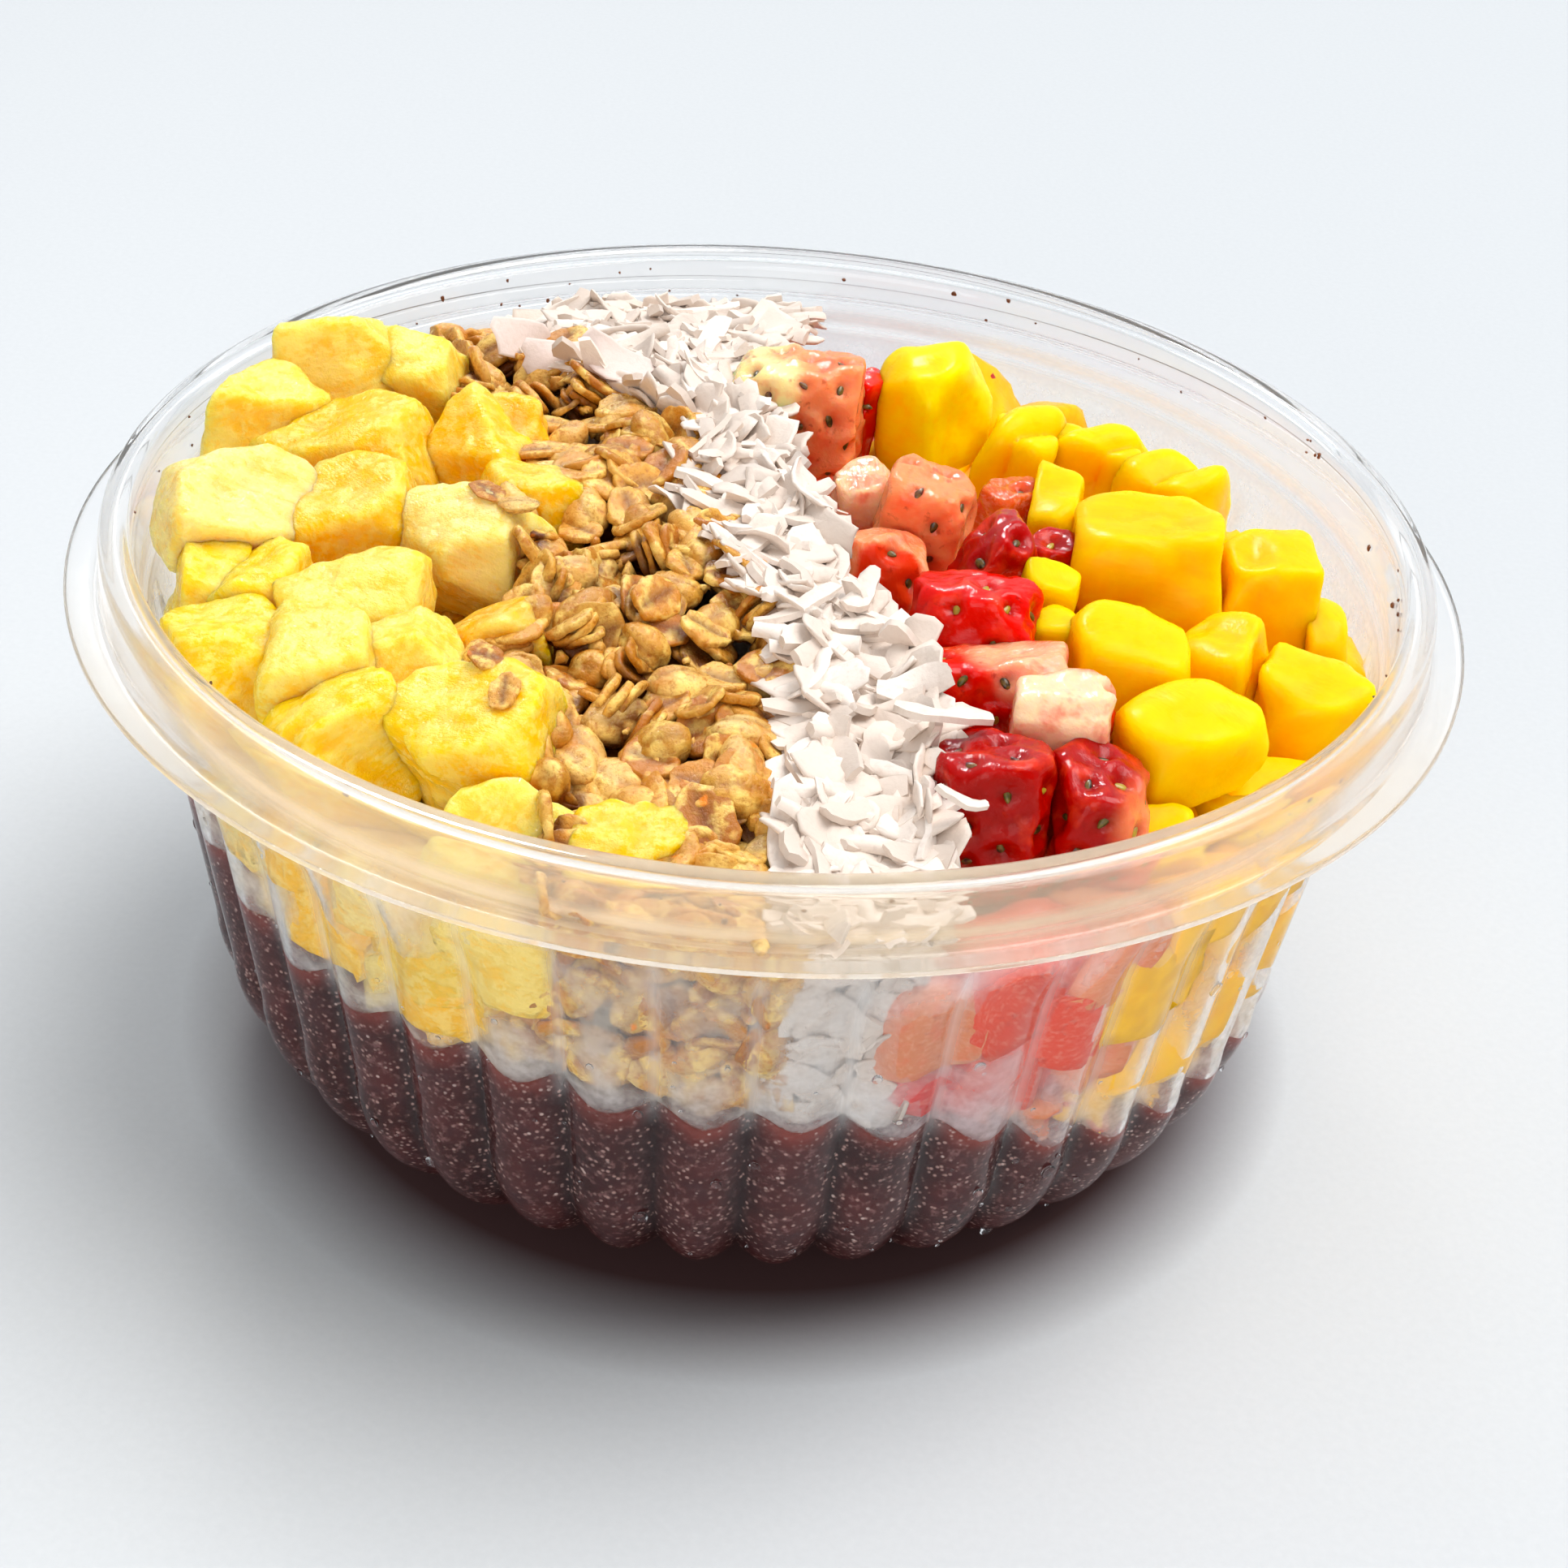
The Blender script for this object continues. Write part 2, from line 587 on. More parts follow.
def bowl_piece():
    profile = wall_profile()
    rim_out, rim_in = rounded_path(RIM_OUTSIDE)[1:], rounded_path(RIM_INSIDE)[1:-1]
    rings = np.concatenate([level_rings(FOOT_RINGS), wall_rings(0, profile), level_rings(rim_out),
                            level_rings(rim_in), wall_rings(WALL, profile)[::-1],
                            level_rings(FOOT_RINGS[::-1] + [0, WALL])])
    points, quads = skin(rings, [0, 0, 0], [0, 0, WALL])
    rows, count = rings.shape[:2]
    inner_from = len(FOOT_RINGS) + len(profile) + len(rim_out) + len(rim_in) - 3
    inner = np.repeat(np.arange(rows - 1) >= inner_from, count)
    kinds = np.r_[inner, np.zeros(count), np.ones(count)].astype(int)
    ob = mesh_piece("clear_bowl", points, quads, MATERIALS["plastic"], kinds)
    trees = [BVHTree.FromPolygons(p.tolist(), [tuple(dict.fromkeys(q)) for q in f.tolist()])
             for p, f in CONTENTS]
    x, y, z = points.T
    r = np.hypot(x, y)
    angle = np.arctan2(y, x)
    above = z - acai_line(x, y)
    inside = np.zeros(len(points))
    inside[quads.ravel()] = np.repeat(kinds, 4)
    lobes = lobe(angle)
    gaps = np.zeros(len(points))
    for k in np.flatnonzero((inside > 0.5) & (z < 64.5) & (above > -1.5)):
        near = [tree.find_nearest(Vector(points[k]), WIDEST_GAP)[3] for tree in trees]
        gaps[k] = min([WIDEST_GAP] + [distance for distance in near if distance is not None])
    fog = 0.075 * smooth_step(-2, 5, above) * (z < 63)
    edge = smooth_step(61, 30, z)
    spike = smooth_step(1 - 0.16 * edge - 0.02, 1 - 0.05 * edge, lobes) * smooth_step(60, 57, z)
    wedge = smooth_step(1 - 0.5 * edge - 0.02, 1 - 0.25 * edge, lobes) * smooth_step(60, 50, z)
    fog += (0.26 * spike + 0.12 * wedge) * smooth_step(-3, 1, above)
    front = smooth_step(0.1, -0.6, y / np.maximum(r, 1))
    put_values(ob, "warm", front * (z > 60))
    fog += np.where(z >= 63, 0.035 + 0.12 * front, 0)
    fog += 0.7 * np.exp(-((z - 65.2) / 0.8) ** 2) * (r < 77) + 0.4 * np.exp(-((z - 63.2) / 0.35) ** 2)
    put_values(ob, "fog", fog)
    veil = smooth_step(0.25, 1.4, gaps) * smooth_step(-0.6, 0.8, above) * smooth_step(64, 60, z)
    veil *= 0.55 + 0.45 * smooth_step(14, 3, above)
    veil = np.maximum(veil, 0.9 * pocket(x, y, z))
    for turn, height, wide in AIR_GAPS:
        away = np.hypot((np.degrees(angle) - turn) * 1.05, (z - height) * 1.6)
        veil = np.maximum(veil, smooth_step(wide, 0.5 * wide, away + 0.7 * noise(points / 1.6, 55)))
    put_values(ob, "veil", veil * inside)
    return finish_piece(ob, ["bowl"])


# ---- the acai ----

# Height of the puree's edge from the left of the bowl to its right.
ACAI_LINE = [(-84, 42), (-62, 42.5), (-54, 39), (-45, 37.8), (-31, 37.4), (-23, 36.8), (-6, 36.4), (9, 35.0),
             (27, 31.8), (36, 28.0), (45, 24.0), (55, 21.0), (84, 19.5)]
# The puree reaches 0.2 mm into the wall, so that no air gap shows.
ACAI_OFFSET = WALL - 0.2


def acai_line(x, y):
    """Height of the puree's edge on the wall, before it dips in each lobe."""
    xs, zs = zip(*ACAI_LINE)
    return np.interp(x, xs, zs) + 0.5 * np.sin(np.arctan2(y, x) * 9 + 1)


def acai_top(x, y):
    r = np.hypot(x, y)
    dip = smooth_step(50, 72, r) * (0.9 - 1.9 * (1 - lobe(np.arctan2(y, x))) ** 2)
    p = np.stack([x, y, np.zeros_like(x)], -1)
    return acai_line(x, y) + dip + 0.5 * layered(p / 5.0, 3, 2)


def acai_piece():
    profile = wall_profile(14, 20)
    profile = profile[profile[:, 1] < 50]
    side = wall_rings(ACAI_OFFSET, profile)
    top_z = acai_top(side[-6, :, 0], side[-6, :, 1])
    rings = []
    heights = np.r_[0, np.cumsum(np.hypot(*np.diff(profile[:, :2], axis=0).T))]
    for share in np.linspace(0, 1, 30):
        reach = [share * np.interp(top, column, heights) for top, column in zip(top_z, side[:, :, 2].T)]
        rings.append(np.array([[np.interp(at, heights, side[:, k, axis]) for axis in range(3)]
                               for k, at in enumerate(reach)]))
    edge = rings[-1]
    for share in (0.985, 0.95, 0.88, 0.75, 0.6, 0.42, 0.22, 0.02):
        ring = edge * [share, share, 1]
        level = min(1, (1 - share) * 20)
        ring[:, 2] = acai_top(ring[:, 0], ring[:, 1]) * level + edge[:, 2] * (1 - level) - 0.3
        rings.append(ring)
    points, quads = skin(np.array(rings), [0, 0, ACAI_OFFSET], [0, 0, edge[:, 2].mean()])
    points -= unit(points * [1, 1, 0]) * np.maximum(0, 0.1 * layered(points / 2.2, 5, 3))[:, None]
    ob = mesh_piece("acai_puree", points, quads, [MATERIALS["acai"]])
    x, y, z = points.T
    put_values(ob, "mask", smooth_step(3.2, 0.2, acai_top(x, y) - z))
    put_values(ob, "groove", smooth_step(0.4, 0.92, lobe(np.arctan2(y, x))))
    return finish_piece(ob, ["acai"])


# ---- fruit ----

def chunk_planes(node):
    """The flat sides of a CAD chunk as outward directions and distances from its middle."""
    mesh = NODES[node].data
    co = np.array([v.co for v in mesh.vertices]) / MM
    tri = np.array([p.vertices[:3] for p in mesh.polygons])
    a, b, c = co[tri[:, 0]], co[tri[:, 1]], co[tri[:, 2]]
    cross = np.cross(b - a, c - a)
    area = np.linalg.norm(cross, axis=1)
    middle = (area[:, None] * (a + b + c) / 3).sum(0) / area.sum()
    kept = []
    for k in np.argsort(-area):
        if area[k] < 0.5:
            continue
        n = cross[k] / area[k]
        d = n @ (a[k] - middle)
        if all(n @ m < 0.97 for m, _ in kept):
            kept.append((n, max(d, 0.6)))
    return middle, np.array([n for n, _ in kept]), np.array([d for _, d in kept])


def rounded_chunk(directions, normals, distances, sharpness):
    """How far a chunk reaches in each direction, with rounded edges."""
    pull = np.maximum(directions @ normals.T, 0) / distances
    return (pull ** sharpness).sum(1) ** (-1 / sharpness)


# Slanting cuts that the photo shows: the way each faces, and its share of the chunk's reach that way.
CUTS = {
    "mango_01": [((-0.75, -0.1, 0.65), 0.74), ((0.8, 0.0, 0.6), 0.86)],
    "strawberry_01": [((-0.6, -0.5, 0.6), 0.85)],
    "strawberry_06": [((-0.8, -0.2, 0.6), 0.7), ((0.75, -0.3, 0.6), 0.76)],
    "strawberry_08": [((0.7, -0.2, 0.7), 0.8)],
    "strawberry_12": [((0.8, -0.3, 0.5), 0.86)],
}


def with_cuts(name, rng, normals, distances, count, least):
    """A chunk's flat sides and its slanting cuts, some its own and some random, so that no two look alike."""
    some = [(rng.normal(size=3) * [1, 1, 0.8], rng.uniform(least, 0.98)) for _ in range(count)]
    for way, share in CUTS.get(name, []) + some:
        way = unit(way)
        reach = 1 / np.max(normals @ way / distances)
        normals, distances = np.r_[normals, [way]], np.r_[distances, share * reach]
    return normals, distances


# How far food stays back from the wall where puree lies in front, and the height up to which it is pressed.
BEHIND_PUREE, FLUTED_TO = 0.9, 64
# How far food stands back in a pocket of air, and how high the pocket of each flute is.
POCKET_DEPTH = 2.4
POCKET_HEIGHTS = np.random.default_rng(77).uniform(1.0, 8.5, FLUTES)


def pocket(x, y, z):
    """1 in the pockets of air just above the puree, one in each lobe, and 0 where food touches the wall."""
    angle = np.arctan2(y, x)
    tall = POCKET_HEIGHTS[np.floor(flute_at(angle)).astype(int) % FLUTES]
    above = z - acai_line(x, y) + 1.2 * noise(np.stack([x, y, z], -1) / 2.5, 56)
    across = smooth_step(1.0, 0.75, lobe(angle))
    return smooth_step(tall, 0.6 * tall, above) * smooth_step(-1.5, 0.0, above) * across


def inside_wall(points, into=0.15):
    """Presses points that would pass through the wall against it, or back from it where puree is in front."""
    x, y, z = points.T
    shown = smooth_step(-1.2, 0.3, z - acai_line(x, y))
    limit = inner_radius(x, y, z) - BEHIND_PUREE + (BEHIND_PUREE + into) * shown
    limit -= POCKET_DEPTH * pocket(x, y, z)
    r = np.hypot(x, y)
    share = np.where((r > limit) & (z < FLUTED_TO), limit / np.maximum(r, 1e-6), 1)
    return points * np.c_[share, share, np.ones_like(share)]


def fibre_frame(rng):
    """Three directions, the first along a piece's fibres."""
    along = unit(rng.normal(size=3) * [1, 1, 0.5])
    side = unit(np.cross(along, [0.2, 0.3, 1]))
    return np.stack([along, side, np.cross(along, side)])


# Colours as on screen, each turned into the shader's own numbers.
SEED_TONES = linears((48, 32, 12), (34, 30, 12), (176, 150, 36), (64, 66, 18), (82, 28, 24))
TONES = {name: linear(*colour) for name, colour in {
    "cream": (250, 216, 134), "pale": (252, 212, 88), "yellow": (253, 202, 14), "gold": (253, 188, 0),
    "amber": (250, 164, 4), "mango": (255, 186, 0), "mango_light": (255, 196, 0),
    "mango_bright": (255, 218, 0), "red": (216, 12, 0), "dark_red": (168, 4, 0),
    "orange_red": (238, 62, 14), "salmon": (252, 148, 94), "pink": (254, 190, 146),
    "core": (254, 206, 166), "straw": (250, 228, 160), "brown_red": (208, 96, 14)}.items()}
# One tone for each chunk, in the order of their numbers, and which chunks are crisper or ruffled.
PINEAPPLE_TONES = ("pale pale pale cream yellow yellow gold gold gold cream amber pale yellow pale pale "
                   "yellow yellow pale gold amber gold").split()
MANGO_TONES = ("mango_bright mango_light mango_light mango_light mango mango mango mango_light mango_light "
               "mango_light mango mango mango_light mango_light mango mango").split()
PINEAPPLE_CRISP, CRISP_SHARPNESS = (3, 11, 14), 40
MANGO_RUFFLED = (1, 2, 3)
# Flesh, skin, the way the skin faces, its share, the gap between seeds, and a patch: its tone, way and share.
STRAWBERRY_LOOKS = [
    ("salmon", "salmon", (0, -0.3, 1), -0.9, 4.3, ("straw", (-1, -0.15, 0.15), 0.25)),
    ("orange_red", "red", (0.6, -0.5, 0.5), 0.1, 5.0, None),
    ("pink", "salmon", (0, 0, -1), 0.5, 5.0, None),
    ("salmon", "salmon", (0.1, -0.4, 1), -0.6, 4.4, None),
    ("salmon", "orange_red", (0, -1, 0.2), 0.6, 5.0, None),
    ("orange_red", "dark_red", (-0.3, 0.3, 1), 0.1, 4.2, None),
    ("orange_red", "dark_red", (0, 0.3, 1), 0.1, 4.0, None),
    ("red", "red", (-0.1, 0.2, 1), -0.3, 4.6, None),
    ("orange_red", "red", (-0.6, -1, 0.3), 0.3, 5.2, ("pink", (0.6, 0.1, 0.9), 0.72)),
    ("orange_red", "red", (0.9, 0.6, -0.2), 0.5, 5.0, ("core", (-0.15, -0.5, 0.8), 0.35)),
    ("dark_red", "dark_red", (-0.3, -0.5, 0.8), -0.9, 4.4, None),
    ("orange_red", "dark_red", (-0.4, -0.3, 0.8), -0.1, 4.0, ("salmon", (0.9, -0.3, 0.1), 0.75)),
    ("orange_red", "red", (0.2, 0, 1), 0.2, 4.4, None),
    ("brown_red", "brown_red", (0, 0, 1), 0.9, 5.0, None),
]


def pineapple_shape(points, directions, frame3, rough=1.0):
    local = points @ frame3.T
    ridges = np.c_[local[:, 0] / 6.0, local[:, 1] / 1.7, local[:, 2] / 1.7]
    lumps = 0.85 * layered(points / 6.5, 21, 2) + 0.24 * layered(ridges, 22, 2) * rough
    lumps += 0.2 * layered(points / 1.9, 24, 2)
    return points + directions * lumps[:, None]


def mango_shape(points, directions, frame3, ruffle=0.0):
    lumps = 1.0 * layered(points / 8.0, 31, 2) + 0.05 * layered(points / 1.8, 32, 2)
    if ruffle:
        along = np.arctan2(points[:, 1], points[:, 0]) * 60
        wave = np.abs(np.sin(math.pi * (along + 1.5 * noise(points / 9, 33)) / 8.5))
        lumps += ruffle * (wave - 0.6) * smooth_step(-0.4, 0.5, directions[:, 2])
    return points + directions * lumps[:, None]


GRAIN_SPAN = 40


def anywhere(rng):
    """A shift that gives each piece its own part of a texture."""
    return rng.uniform(-GRAIN_SPAN, GRAIN_SPAN, 3)


def grain_of(points, frame3, stretch, rng):
    return (points @ frame3.T) * [stretch, 1, 1] + anywhere(rng)


def toward(tone, other, share):
    """A tone with a share of another, named one mixed in."""
    return tone * (1 - share) + TONES[other] * share


def chunk(name, rng, directions, lean, cuts, sharpness, swell):
    """A CAD chunk's shape, leaning a little, with slanting cuts and rounded edges, and its fibres' frame."""
    middle, normals, distances = chunk_planes(name)
    normals, distances = with_cuts(name, rng, normals @ leaning(rng, lean).T, distances, *cuts)
    reach = rounded_chunk(directions, normals, distances, sharpness) * swell
    return middle + directions * reach[:, None], fibre_frame(rng)


# The pieces of the top layer, on which loose oats land.
TOP_PIECES = []


def top_piece(kind, number, points, quads, *looks):
    heap = Heap()
    heap.add(inside_wall(points), quads, *looks)
    node = f"{kind}_{number:02d}"
    TOP_PIECES.append(heap.piece(f"{kind}_chunk_{number:02d}", MATERIALS[kind], kind, [node]))


def pineapple_and_mango():
    directions, quads = ball(18)
    kinds = {"pineapple": (PINEAPPLE_TONES, 0.5, (4, 0.8), 32, 1.26),
             "mango": (MANGO_TONES, 0.2, (2, 0.9), 20, 1.1)}
    for kind, (tones, lean, cuts, sharpness, swell) in kinds.items():
        for i, key in enumerate(tones):
            rng = np.random.default_rng(100 + i + len(kind))
            crisp = kind == "pineapple" and i in PINEAPPLE_CRISP
            points, frame3 = chunk(f"{kind}_{i + 1:02d}", rng, directions, lean, cuts,
                                   CRISP_SHARPNESS if crisp else sharpness, swell)
            tone = TONES[key] * (1 + 0.04 * rng.uniform(-1, 1))
            if kind == "pineapple":
                points = pineapple_shape(points, directions, frame3, 0.5 if crisp else 1.0)
                grain = grain_of(points, frame3, 0.2, rng)
                tone = toward(tone, "gold", 0.6 * smooth_step(0.0, -0.6, directions[:, 2])[:, None])
            else:
                points = mango_shape(points, directions, frame3, 2.4 if i in MANGO_RUFFLED else 0)
                grain = grain_of(points, frame3, 0.3, rng)
            top_piece(kind, i + 1, points, quads, np.clip(tone, 0, 1), grain)


def strawberry_chunks():
    seeds = Heap()
    directions, quads = ball(22)
    seed_ball, seed_quads = ball(3)
    for i, (flesh, skin_tone, way, bar, gap, patch) in enumerate(STRAWBERRY_LOOKS):
        rng = np.random.default_rng(300 + i)
        points, frame3 = chunk(f"strawberry_{i + 1:02d}", rng, directions, 0.2, (2, 0.85), 26, 1.12)
        wobble = 0.25 * noise(points / 4.0, 61 + i)
        is_skin = smooth_step(bar - 0.06, bar + 0.06, directions @ unit(way) + wobble)
        lumps = 0.6 * layered(points / 5.0, 62, 2) + 0.2 * layered(points / 1.5, 63, 2)
        tone = toward(TONES[flesh], skin_tone, is_skin[:, None])
        blush = smooth_step(0.1, 0.6, layered(points / 3.5, 64 + i, 2)) * (1 - is_skin)
        tone = toward(tone, "orange_red", 0.45 * blush[:, None])
        if patch:
            other, side, share = patch
            there = smooth_step(share - 0.35, share + 0.35, directions @ unit(side) + 1.4 * wobble)
            tone = toward(tone, other, there[:, None])
        pits = []
        for k in rng.permutation(len(directions)):
            if is_skin[k] > 0.9 and all(np.linalg.norm(points[k] - points[m]) > gap for m in pits):
                pits.append(k)
        for k in pits:
            away = np.linalg.norm(points - points[k], axis=1)
            lumps -= 1.05 * np.exp(-(away / 0.95) ** 2) - 0.35 * np.exp(-((away - 2.1) / 0.8) ** 2)
            tone = toward(tone, "dark_red", 0.6 * np.exp(-away ** 2)[:, None])
        for k in pits:
            base = points[k] + directions[k] * (lumps[k] + 0.14)
            shape = seed_ball * [1.0, 0.5, 0.34] * rng.uniform(0.8, 1.15)
            shape[:, 1] *= 1 - 0.35 * seed_ball[:, 0]
            shade = SEED_TONES[rng.integers(len(SEED_TONES))]
            seeds.add(base + shape @ facing(directions[k], rng, 0.25).T, seed_quads, shade, shape)
        points = points + directions * lumps[:, None]
        top_piece("strawberry", i + 1, points, quads, tone, grain_of(points, frame3, 0.25, rng), is_skin)
    seeds.piece("strawberry_seeds", MATERIALS["seed"], "strawberry")


def settled(x, y):
    """The place where something dropped at x, y comes to rest on the fruit, and the way it faces."""
    best, facing_up = -1.0, Vector((0, 0, 1))
    for ob in TOP_PIECES:
        hit, spot, normal, _ = ob.ray_cast(Vector((x, y, 200)) * MM, Vector((0, 0, -1)))
        if hit and spot.z / MM > best:
            best, facing_up = spot.z / MM, normal
    return np.array([x, y, best]), np.array(facing_up)


def tree_of(node):
    mesh = NODES[node].data
    sides = [tuple(p.vertices) for p in mesh.polygons]
    return BVHTree.FromPolygons([v.co / MM for v in mesh.vertices], sides)


def is_inside(tree, point):
    hits, start = 0, Vector(point)
    while hits < 20:
        hit = tree.ray_cast(start, Vector((0.01, 0.02, 1)).normalized())
        if hit[0] is None:
            break
        hits += 1
        start = hit[0] + Vector((0, 0, 1e-3))
    return hits % 2 == 1


# For each bed: its tones, its pieces' sharpness, shape and grain, their reach into the wall, and how dull.
BEDS = {"pineapple": (["yellow", "gold", "pale", "cream"], 9, pineapple_shape, 0.16, 0.15, 0.68),
        "strawberry": (["orange_red", "red", "salmon", "salmon"], 10, mango_shape, 0.25, 0.1, 0.6),
        "mango": (["gold", "mango"], 12, mango_shape, 0.3, 0.45, 0.8)}
BED_TRIES, BED_SPACING = 9000, 8.7


def bed_centres(node, rng):
    """Spread places in a bed, looked for first along the wall and then all through it."""
    tree, (low, high) = tree_of(node), box_of(node)
    centres = []
    for attempt in range(BED_TRIES):
        spot = rng.uniform(low, high)
        if attempt < BED_TRIES / 2:
            spot[:2] *= (inner_radius(*spot) - rng.uniform(4.2, 6.0)) / math.hypot(spot[0], spot[1])
        if is_inside(tree, spot) and all(np.linalg.norm(spot - c) >= BED_SPACING for c in centres):
            centres.append(spot)
    return centres


def bed_pieces():
    """The fruit under the top layer: cut pieces pressed against the wall, over a core."""
    directions, quads = ball(7)
    for order, (kind, (tones, sharpness, shape, stretch, into, dull)) in enumerate(BEDS.items()):
        rng = np.random.default_rng(500 + order)
        heap = Heap()
        for spot in bed_centres(f"{kind}_bed", rng):
            half = rng.uniform(5.0, 7.4, 3)
            turn = turned(rng, 0.9)
            normals = np.r_[np.eye(3), -np.eye(3), unit(rng.normal(size=(4, 3)))] @ turn.T
            distances = np.r_[half, half, rng.uniform(6.5, 8.0, 4)]
            points = spot + directions * rounded_chunk(directions, normals, distances, sharpness)[:, None]
            frame3 = fibre_frame(rng)
            points = shape(points, directions, frame3)
            points[:, 2] = np.maximum(points[:, 2], acai_line(points[:, 0], points[:, 1]) - 2.5)
            tone = np.clip(TONES[tones[rng.integers(len(tones))]] * rng.uniform(dull, dull + 0.26), 0, 1)
            heap.add(inside_wall(points, into), quads, tone, grain_of(points, frame3, stretch, rng), 0.6)
        heap.piece(f"{kind}_bed_chunks", MATERIALS[f"{kind}_bed"], kind, [f"{kind}_bed"])


# ---- granola ----

def flake(rng):
    """A rolled oat: a thin creased oval with a wavy rim."""
    directions, quads = ball(6)
    long, wide, thick = rng.uniform(3.6, 4.6), rng.uniform(2.9, 3.9), rng.uniform(0.5, 0.8)
    x, y, z = directions.T
    angle, flat = np.arctan2(y, x), np.hypot(x, y)
    rim = 1 + 0.07 * np.sin(2 * angle + rng.uniform(0, 6)) + 0.05 * np.sin(5 * angle + rng.uniform(0, 6))
    rim += 0.035 * np.sin(9 * angle + rng.uniform(0, 6))
    spread = flat ** 0.55 / np.maximum(flat, 1e-6)
    px, py = long * x * spread * rim, wide * y * spread * rim
    crease = np.exp(-(py / 0.4) ** 2) * smooth_step(1.0, 0.6, np.abs(px) / long)
    pz = thick * np.sign(z) * np.abs(z) ** 0.4 * (1 - 0.7 * crease)
    pz = pz + rng.uniform(-0.025, 0.025) * px ** 2 + rng.uniform(-0.03, 0.05) * py ** 2
    pz += rng.uniform(-0.03, 0.03) * px * py
    pz += 0.22 * noise(np.c_[px, py, pz * 0] / 2.6 + rng.uniform(0, 50), 71)
    return np.c_[px, py, pz], quads, 0.7 * crease


def puff(rng):
    """A puffed grain: a plump lump with a crease."""
    directions, quads = ball(6)
    half = np.array([rng.uniform(3.6, 5.0), rng.uniform(2.5, 3.3), rng.uniform(2.2, 2.9)])
    points = directions * half
    dent = np.exp(-(points[:, 1] / 0.6) ** 2) * (points[:, 2] > 0)
    points *= (1 - 0.14 * dent + 0.10 * layered(points / 2.4 + rng.uniform(0, 50), 72, 2))[:, None]
    return points, quads, 0.35 * dent


def surface_spots(node, count, gap, rng, sink, inwards=False):
    """Spread places on a heap: seen from above, or from outside through the wall."""
    tree, (low, high) = tree_of(node), box_of(node)
    places = []
    for _ in range(count * 40):
        if inwards:
            angle, z = rng.uniform(-math.pi, math.pi), rng.uniform(low[2], high[2])
            start, ray = Vector(around(150, angle, z)), Vector(around(-1, angle, 0))
        else:
            start = Vector((rng.uniform(low[0], high[0]), rng.uniform(low[1], high[1]), 200))
            ray = Vector((0, 0, -1))
        spot, normal, _, _ = tree.ray_cast(start, ray)
        if spot is None or normal.dot(ray) > -0.25 or inwards and math.hypot(spot.x, spot.y) < 55:
            continue
        spot = np.array(spot + normal * -sink)
        if all(np.linalg.norm(spot - p) > gap for p, _ in places):
            places.append((spot, np.array(normal)))
        if len(places) >= count:
            break
    return places


OAT_TONES = linears((214, 152, 54), (230, 178, 86), (200, 132, 36), (220, 164, 66), (182, 110, 24))
PUFF_TONES = linears((226, 172, 80), (212, 154, 56), (238, 196, 114), (200, 138, 42), (230, 184, 100))
# Loose pieces lying on the pineapple: where, how large, and whether flake or puffed grain.
STRAYS = [(-33.7, -9.3, 0.55, 0), (-32.8, -35.6, 0.75, 1), (-29.6, -43.8, 0.55, 0), (-26.9, -50.1, 0.6, 0),
          (-30.4, -11.4, 0.5, 1)]
# The cluster that stands up next to the coconut: its middle and the way it faces.
CLUSTER = (np.array([-8.2, -9.1, 73.0]), np.array([0.2, -0.3, 1.0]))


def crumb_shape(rng, size):
    directions, quads = ball(2)
    shape = directions * size * rng.uniform(0.6, 1.3, 3)
    return shape + 0.2 * size * rng.normal(size=shape.shape), quads, 0.0


def highest(across, along, level, cell=1.7):
    """How far each point is under the highest point of its own small square."""
    i, j = (np.floor((v - v.min()) / cell).astype(int) for v in (across, along))
    square = i * (j.max() + 1) + j
    top = np.full(square.max() + 1, -1e9)
    np.maximum.at(top, square, level)
    return top[square] - level


def darken_low(heaps):
    """Syrup gathers low in a heap: raises the mask of points well under its top and its side."""
    x, y, z = np.concatenate([p for heap in heaps for p in heap.points]).T
    depth = np.minimum(highest(x, y, z), highest(np.arctan2(y, x) * 72, z, np.hypot(x, y)))
    low, at = 0.95 * smooth_step(0.8, 3.4, depth), 0
    for heap in heaps:
        for k, mask in enumerate(heap.mask):
            heap.mask[k] = np.maximum(mask, low[at:at + len(mask)])
            at += len(mask)


# Above these heights the pieces of a heap are pressed down.
GRANOLA_CEILING, COCONUT_CEILING = 77.5, 77.0


def lowered(points, ceiling, share):
    """Presses what stands above a ceiling down, to a share of its height over it."""
    z = points[:, 2]
    points[:, 2] = np.where(z > ceiling, ceiling + share * (z - ceiling), z)
    return points


def wall_shade(points):
    """Pieces low behind the wall are duller than those on top."""
    return 0.8 + 0.2 * smooth_step(52, 66, points[:, 2].mean())


